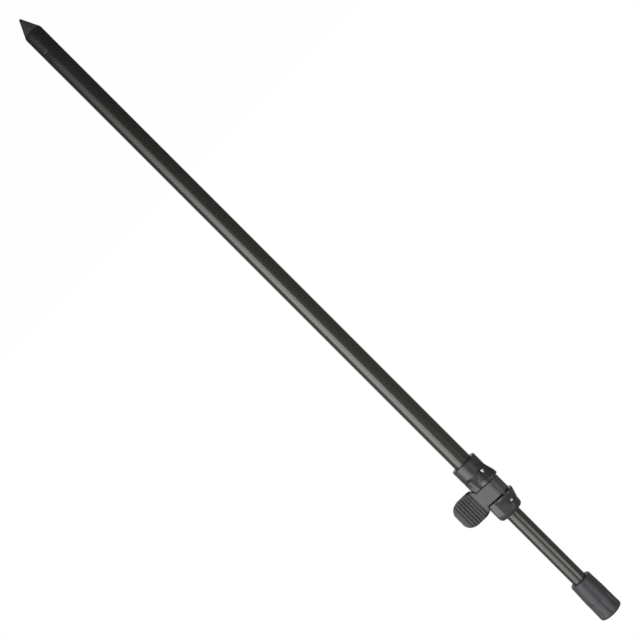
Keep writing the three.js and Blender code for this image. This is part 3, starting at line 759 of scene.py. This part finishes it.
def ruleTree(name, sizes, finish):
    # a Geometry Nodes tree with the piece and its named sizes as inputs; close() ends it with the
    # points that move, how far they move, and the material
    tree = bpy.data.node_groups.new(name, "GeometryNodeTree")
    tree.interface.new_socket("Geometry", in_out="INPUT", socket_type="NodeSocketGeometry")
    for size, value in sizes.items():
        socket = tree.interface.new_socket(size, in_out="INPUT", socket_type="NodeSocketFloat")
        socket.default_value = value * mm if size in lengths else value
    tree.interface.new_socket("Geometry", in_out="OUTPUT", socket_type="NodeSocketGeometry")
    graph = Graph(tree)
    entry = graph.node("NodeGroupInput")
    where = graph.node("GeometryNodeInputPosition")
    parts = graph.node("ShaderNodeSeparateXYZ", None, {"Vector": where})

    def close(offset, moved):
        shifted = graph.node("GeometryNodeSetPosition", None, {
            "Geometry": entry, "Selection": moved, "Offset": offset})
        real = graph.node("GeometryNodeRealizeInstances", None, {"Geometry": shifted})
        painted = graph.node("GeometryNodeSetMaterial", None, {"Geometry": real, "Material": finish})
        graph.node("NodeGroupOutput", None, {0: painted})
        return tree

    return graph, entry, parts, close


def applyTree(piece, tree, sizes):
    made = piece.modifiers.new(tree.name, "NODES")
    made.node_group = tree
    for item in tree.interface.items_tree:
        if item.in_out == "INPUT" and item.name in sizes:
            made[item.identifier] = float(sizes[item.name] * (mm if item.name in lengths else 1))
    settle(piece)


def grooveTree(finish):
    # level grooves across the front of the paddle, easing out before its edges
    graph, entry, parts, close = ruleTree("finger_grooves", grooves, finish)
    x, z = parts.out("X"), parts.out("Z")
    first, pitch, width = entry.out("First"), entry.out("Pitch"), entry.out("Width")
    number = ((x - first) / pitch).maths("ROUND").maths("MAXIMUM", 0)
    number = number.maths("MINIMUM", entry.out("Count") - 1)
    across = abs(x - first - number * pitch)
    along = abs(z - entry.out("Middle"))
    reach = entry.out("Half length")
    share = graph.ranged(across, width * entry.out("Flat"), width * entry.out("Brim"), 1, 0)
    share = share * graph.ranged(along, reach - entry.out("Run out"), reach, 1, 0)
    faces = graph.node("GeometryNodeInputNormal")
    front = graph.node("ShaderNodeSeparateXYZ", None, {"Vector": faces}, "Y")
    sunk = graph.node("ShaderNodeCombineXYZ", None, {"Y": share * entry.out("Depth")})
    return close(sunk, front.maths("LESS_THAN", entry.out("Facing")))


applyTree(camLever, grooveTree(leverGrey), grooves)
smooth(camLever)

# painted shade: how dark the colour is painted in each groove, along the shoulders' edges and in the
# hub's crease, where shade falls
paintedShade = {
    "grooves": (0.08, 0.15, 0.3, 0.7, 0.68, 0.45, 0),
    "grooveFull": 1.5, "grooveFall": 2.6, "grooveEnds": 2,
    "lowEdge": 1.8, "highEdge": 2.2, "edgeFade": 0.7, "steepX": (12.5, 15), "steepWider": (1.3, 1),
    "edgeX": (9, 9.6, 15.5, 18.5), "edgeShare": (0, 1, 1, 0.25),
    "crease": 0.45, "creaseFull": 1.4, "creaseFade": 0.3, "creaseEnd": 0.6,
    "frontLeast": 0.4, "frontRise": 2,
}


def markPaintedShade(piece):
    # an attribute of painted shade: how dark the colour is painted at each point that faces the front,
    # up to 1
    mesh = piece.data
    places, normals = (np.empty(len(mesh.vertices) * 3, np.float32) for i in range(2))
    mesh.vertices.foreach_get("co", places)
    mesh.vertices.foreach_get("normal", normals)
    x, z = places.reshape(-1, 3)[:, [0, 2]].T / mm
    number = np.clip(np.round((x - grooves["First"]) / grooves["Pitch"]), 0, grooves["Count"] - 1)
    across = np.abs(x - grooves["First"] - number * grooves["Pitch"])
    along = np.abs(z - clamp["middle"])
    deep = np.clip(paintedShade["grooveFull"] - across / grooves["Width"] * paintedShade["grooveFall"], 0, 1)
    deep *= np.clip((grooves["Half length"] - along) * paintedShade["grooveEnds"], 0, 1)
    deep *= np.array(paintedShade["grooves"])[number.astype(int)]
    wide = np.where(z > clamp["middle"], paintedShade["highEdge"], paintedShade["lowEdge"])
    wide *= np.interp(x, paintedShade["steepX"], paintedShade["steepWider"])
    edge = np.clip((wide - padHalf(x) + along) / paintedShade["edgeFade"], 0, 1)
    edge *= np.interp(x, paintedShade["edgeX"], paintedShade["edgeShare"])
    crease = np.clip(paintedShade["creaseFull"] - np.abs(x - lever["creaseX"]) / paintedShade["creaseFade"], 0, 1)
    crease *= paintedShade["crease"] * np.clip(lever["half"] - paintedShade["creaseEnd"] - along, 0, 1)
    front = np.clip(paintedShade["frontLeast"] - normals.reshape(-1, 3)[:, 1] * paintedShade["frontRise"], 0, 1)
    share = np.maximum(np.maximum(deep, edge), crease) * front
    layer = mesh.attributes.new("hollow", "FLOAT", "POINT")
    layer.data.foreach_set("value", share.astype(np.float32))


# paint shade into the lever's grooves, shoulder edges and hub crease
markPaintedShade(camLever)
fit(camLever, "lever", "lever_grey", leverGrey, "cam_lever")


# Head

head = {
    "base": 616.8, "top": 652.4, "baseR": 9.4, "waistR": 10.1, "waist": 632.8, "rimR": 10.35,
    "baseEase": 1.2, "waistEase": 3, "rimEase": 2.4, "seat": 6.47, "seatTop": 628.8, "seatEase": 0.3,
    "pocket": 6.27, "pocketEase": 0.25, "floor": 634.35, "rowStep": 0.3, "sides": 192, "sharpFrom": 40,
}
# Flat and Brim as for the grooves; only what is farther out than Outside moves
flutes = {"Count": 8, "Length": 12.6, "Width": 2.6, "Depth": 0.6, "Flat": 0.2, "Brim": 0.55,
          "Middle": 642.4, "Outside": 8.5}

profile = softened([
    (0, head["seatTop"], 0), (head["seat"], head["seatTop"], 0),
    (head["seat"], head["base"], head["seatEase"]), (head["baseR"], head["base"], head["baseEase"]),
    (head["waistR"], head["waist"], head["waistEase"]),
    (head["rimR"], head["top"], head["rimEase"]), (head["pocket"], head["top"], head["pocketEase"]),
    (head["pocket"], head["floor"], 0), (0, head["floor"], 0)], steps=8)
headGrip = turned("head_grip", filled(profile, head["rowStep"]), head["sides"])


def fluteTree(finish):
    # round-ended flutes, evenly spaced about the head
    graph, entry, parts, close = ruleTree("grip_flutes", flutes, finish)
    x, y, z = parts.out("X"), parts.out("Y"), parts.out("Z")
    radius = (x * x + y * y).maths("SQRT")
    step = turn / entry.out("Count")
    angle = y.maths("ARCTAN2", x) + turn / 4
    off = (angle - (angle / step).maths("ROUND") * step) * radius
    width = entry.out("Width")
    straight = (entry.out("Length") - width) / 2
    past = (abs(z - entry.out("Middle")) - straight).maths("MAXIMUM", 0)
    away = (off * off + past * past).maths("SQRT")
    share = graph.ranged(away, width * entry.out("Flat"), width * entry.out("Brim"), 1, 0)
    share = share * entry.out("Depth") / radius
    inwards = graph.node("ShaderNodeCombineXYZ", None, {"X": x * share * -1, "Y": y * share * -1})
    return close(inwards, radius.maths("GREATER_THAN", entry.out("Outside")))


applyTree(headGrip, fluteTree(headGrey), flutes)
smooth(headGrip, head["sharpFrom"])
fit(headGrip, "mast", "head_grey", headGrey, "head_knob")

insert = {"outer": 6.15, "bore": 4.3, "low": 634.5, "top": 652.1, "ease": 0.3,
          "lead": 0.6, "leadEase": 0.1, "rowStep": 0.127, "sides": 96, "sharpFrom": 50}
# Crest end and Root start are shares of the pitch, from the middle of a crest; Foot and Lead in are
# how far the thread takes to rise at its two ends
thread = {"Crest": 3.98, "Root": 4.72, "Pitch": 1.27, "Crest end": 0.06, "Root start": 0.44,
          "Floor": 635.4, "Foot": 1, "Mouth": 651.6, "Lead in": 1.2, "Outside": 5.2}

profile = softened([
    (insert["bore"], insert["low"], 0), (insert["outer"], insert["low"], insert["ease"]),
    (insert["outer"], insert["top"], insert["ease"]),
    (insert["bore"] + insert["lead"], insert["top"], insert["leadEase"]),
    (insert["bore"], insert["top"] - insert["lead"], 0)], steps=3)
threadedInsert = turned("threaded_insert", filled([*profile, profile[0]], insert["rowStep"])[:-1],
                        insert["sides"], True)


def threadTree(finish):
    # a helical thread in the bore
    graph, entry, parts, close = ruleTree("socket_thread", thread, finish)
    x, y, z = parts.out("X"), parts.out("Y"), parts.out("Z")
    radius = (x * x + y * y).maths("SQRT")
    phase = (z / entry.out("Pitch") - y.maths("ARCTAN2", x) / turn).maths("FRACT")
    depth = graph.ranged(abs(phase - 0.5), entry.out("Crest end"), entry.out("Root start"),
                         entry.out("Crest"), entry.out("Root"), "LINEAR")
    low, high = entry.out("Floor"), entry.out("Mouth")
    top = graph.ranged(z, high - entry.out("Lead in"), high, 1, 0)
    foot = graph.ranged(z, low, low + entry.out("Foot"), 0, 1)
    share = (depth - radius) * (top * foot) / radius
    shift = graph.node("ShaderNodeCombineXYZ", None, {"X": x * share, "Y": y * share})
    return close(shift, radius.maths("LESS_THAN", entry.out("Outside")))


applyTree(threadedInsert, threadTree(insertBrass), thread)
smooth(threadedInsert, insert["sharpFrom"])
fit(threadedInsert, "mast", "insert_brass", insertBrass, "head_insert")


# The hidden pieces keep their CAD solids

hidden = {
    "guide_bush": nylonBlack, "clamp_liner": nylonBlack, "brake_shoe": nylonBlack,
    "collar_bush": nylonBlack, "lever_washer_lower": nylonBlack, "lever_washer_upper": nylonBlack,
    "tail_plug": nylonBlack, "tail_bush": nylonBlack, "tail_o_ring": ringRubber,
    "tail_washer": polishedSteel, "tail_screw": polishedSteel,
}

for node, finish in hidden.items():
    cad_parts[node].data.materials.clear()
    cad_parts[node].data.materials.append(finish)
print(len(hidden), "hidden pieces have their materials")


# Floor, world and lamps

studio = {  # sizes in metres, powers in watts
    "floorSize": 1.3, "floorSides": 64, "floorShade": (0.9, 0.9, 0.9, 1), "floorWhite": 0.98,
    "keyPlace": (0.456, -0.39, 0.325), "keySize": (0.7, 1.25), "keyPower": 7.1,
    # the key's fades: from one place to another, and its level at each
    "keyFoot": (-0.22, 0.34, 0, 1), "keyTop": (0.3, 0.95, 1, 0.6), "keyCap": (0.83, 0.94, 1, 0.1),
    "keyFront": (0.2, 0.6, 0.65, 1),
    "backPlace": (0.33, 0.72, 0.4), "backSize": (0.36, 1.1), "backPower": 0.8,
    "stripPlace": (-0.28, -0.53, 0.77), "stripSize": (0.34, 0.24), "stripPower": 0.48,
    # the world's levels: on matt surfaces, and in reflections before and behind the stick
    "fill": 0.34, "before": (-0.25, 0.15, 0.06, 0.2), "behind": 1, "behindFrom": 0.8, "behindFull": 1.05,
}

reach, sides = studio["floorSize"] / mm, studio["floorSides"]
circle = reach * directions(np.linspace(0, turn, sides, endpoint=False))
floor = addPiece("floor", raised(circle, 0), [tuple(range(sides))])
floor.visible_glossy = False
pale, graph = finishGraph("pale_floor")
lit = graph.node("ShaderNodeBsdfDiffuse", None, {"Color": studio["floorShade"]})
glow = graph.node("ShaderNodeEmission", None, {"Color": (1, 1, 1, 1), "Strength": 1})
seen = graph.node("ShaderNodeLightPath", output="Is Camera Ray")
both = graph.node("ShaderNodeMixShader", None, {0: seen * studio["floorWhite"], 1: lit, 2: glow})
graph.node("ShaderNodeOutputMaterial", None, {"Surface": both})
floor.data.materials.append(pale)

world = bpy.data.worlds.new("studio")
scene.world = world
world.use_nodes = True
world.node_tree.nodes.clear()
graph = Graph(world.node_tree)
ray = graph.node("ShaderNodeLightPath")
where = graph.node("ShaderNodeTexCoord", output="Generated")
aim = graph.node("ShaderNodeSeparateXYZ", None, {"Vector": where})
before = graph.ranged(aim.out("Z"), *studio["before"])
backdrop = graph.ranged(aim.out("Y"), studio["behindFrom"], studio["behindFull"],
                        before, studio["behind"])
shiny = (ray.out("Is Glossy Ray") + ray.out("Is Transmission Ray")).maths("MINIMUM", 1)
unseen = shiny * backdrop + (1 - shiny) * studio["fill"]
direct = ray.out("Is Camera Ray")
level = direct + (1 - direct) * unseen
backing = graph.node("ShaderNodeBackground", None, {"Color": (1, 1, 1, 1), "Strength": level})
graph.node("ShaderNodeOutputWorld", None, {"Surface": backing})


def addLamp(name):
    # an area lamp that faces the stick at its own height
    place = studio[name + "Place"]
    lamp = bpy.data.lights.new(name, "AREA")
    lamp.shape = "RECTANGLE"
    lamp.size, lamp.size_y = studio[name + "Size"]
    lamp.energy = studio[name + "Power"]
    stand = bpy.data.objects.new(name, lamp)
    stand.location = place
    towards = Vector((0, 0, place[2])) - Vector(place)
    stand.rotation_euler = towards.to_track_quat("-Z", "Y").to_euler()
    stand.visible_camera = False
    scene.collection.objects.link(stand)
    return lamp


key = addLamp("key")
key.use_nodes = True
key.node_tree.nodes.clear()
graph = Graph(key.node_tree)
where = graph.node("ShaderNodeNewGeometry", output="Position")
spot = graph.node("ShaderNodeSeparateXYZ", None, {"Vector": where})
# the soft box fades towards its foot and a little towards its top and its front edge
level = graph.ranged(spot.out("Z"), *studio["keyFoot"])
for axis, fade in (("Z", "keyTop"), ("Z", "keyCap"), ("X", "keyFront")):
    level = level * graph.ranged(spot.out(axis), *studio[fade])
glow = graph.node("ShaderNodeEmission", None, {"Color": (1, 1, 1, 1), "Strength": level})
graph.node("ShaderNodeOutputLight", None, {"Surface": glow})
addLamp("back")
addLamp("strip")
print("lamps and world are set")

scene.view_settings.view_transform = "Standard"
